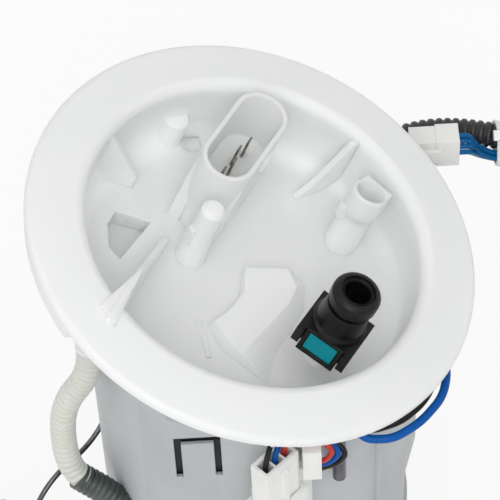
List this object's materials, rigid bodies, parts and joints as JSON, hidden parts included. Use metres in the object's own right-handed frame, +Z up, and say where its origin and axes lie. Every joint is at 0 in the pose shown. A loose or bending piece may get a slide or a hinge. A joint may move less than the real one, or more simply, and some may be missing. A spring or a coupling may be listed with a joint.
{
  "type": "fuel pump module",
  "caption": "In-tank fuel pump module: tilted dished flange with electrical shroud and quick connector, white sleeve, sprung reservoir pot, level float and wiring loom.",
  "frame": {"origin": "centre of the circle on which the reservoir pot's feet stand, on the plane of the feet", "axes": "+Z up along the pot's axis, +X to the right and -Y to the front as the module is usually shown, with the flange dipping to the right"},
  "size_m": [0.3054, 0.1521, 0.2106],
  "materials": {
    "white_moulding": "moulded white acetal, satin",
    "sleeve_moulding": "moulded off-white acetal, satin",
    "black_moulding": "moulded black nylon, satin",
    "coupler_black": "moulded black nylon, semi-gloss",
    "latch_teal": "moulded teal acetal",
    "rubber_black": "black fuel-proof rubber",
    "clear_hose": "translucent corrugated nylon",
    "loom_black": "black corrugated nylon",
    "wire_blue": "blue insulation",
    "wire_black": "black insulation",
    "wire_red": "red insulation",
    "steel": "bright steel",
    "dark_steel": "dark spring steel",
    "contact_brass": "tinned brass",
    "copper_core": "laminations with copper windings",
    "magnet": "sintered ferrite",
    "filter_paper": "pleated filter paper",
    "mesh": "fine woven mesh",
    "aluminium": "pressed and plated",
    "card": "ceramic card with printed tracks",
    "float_foam": "closed-cell nitrile foam"
  },
  "bodies": {
    "head": {"flange": "white_moulding", "flange_seal": "rubber_black", "main_terminals": "contact_brass", "sleeve": "sleeve_moulding", "guide_rods": "steel", "spring_rear": "steel", "spring_front": "steel", "outlet_hose": "clear_hose", "pump_leads": "wire_red", "return_hose": "clear_hose", "return_fitting": "black_moulding", "sensor_socket": "white_moulding", "sensor_plug": "white_moulding", "wires_black": "wire_black", "wires_blue": "wire_blue", "wires_red": "wire_red", "wire_pin": "dark_steel", "cable_tie": "white_moulding", "loop_wire_blue": "wire_blue", "loop_wire_black": "wire_black", "loom_gland": "black_moulding", "loom_tube": "loom_black", "rear_connector": "white_moulding", "loom_wires": "wire_blue", "loom_cuff": "rubber_black", "far_connector": "black_moulding"},
    "coupler": {"coupler_body": "coupler_black", "coupler_seals": "rubber_black"},
    "latch": {"coupler_latch": "latch_teal"},
    "pot": {"reservoir_pot": "black_moulding", "inlet_valve": "rubber_black", "strainer_frame": "white_moulding", "strainer_mesh": "mesh", "pump_case": "steel", "pump_base": "aluminium", "pump_head": "black_moulding", "pump_magnets": "magnet", "pump_brushes": "magnet", "filter_housing": "white_moulding", "filter_element": "filter_paper", "filter_lid": "white_moulding", "pressure_regulator": "aluminium", "jet_pump": "white_moulding", "level_sensor": "black_moulding", "sensor_card": "card"},
    "rotor": {"pump_armature": "copper_core", "pump_shaft": "steel", "pump_impeller": "black_moulding"},
    "float_arm": {"float_hub": "white_moulding", "float_arm": "dark_steel", "float": "float_foam"}
  },
  "joints": [
    {"name": "pot_slide", "type": "slide", "parent": "head", "child": "pot", "axis": [0, 0, 1], "range_m": [0, 0.008], "stiffness_N_per_m": 450, "springref_m": -0.03, "deforming": ["spring_rear", "spring_front", "outlet_hose", "pump_leads"]},
    {"name": "coupler_swivel", "type": "hinge", "parent": "head", "child": "coupler", "pos_m": [0.02986, -0.02379, 0.17292], "axis": [0.3278, -0.1135, 0.9379], "range_deg": [-20, 20]},
    {"name": "latch_press", "type": "slide", "parent": "coupler", "child": "latch", "axis": [0.5278, 0.8454, -0.0822], "range_m": [0, 0.0012], "stiffness_N_per_m": 600, "springref_m": -0.003},
    {"name": "rotor_spin", "type": "hinge", "parent": "pot", "child": "rotor", "pos_m": [0, 0, 0.055], "axis": [0, 0, 1], "continuous": true},
    {"name": "float_swing", "type": "hinge", "parent": "pot", "child": "float_arm", "pos_m": [-0.04419, 0.04419, 0.075], "axis": [-0.7071, 0.7071, 0], "range_deg": [0, 60]}
  ]
}
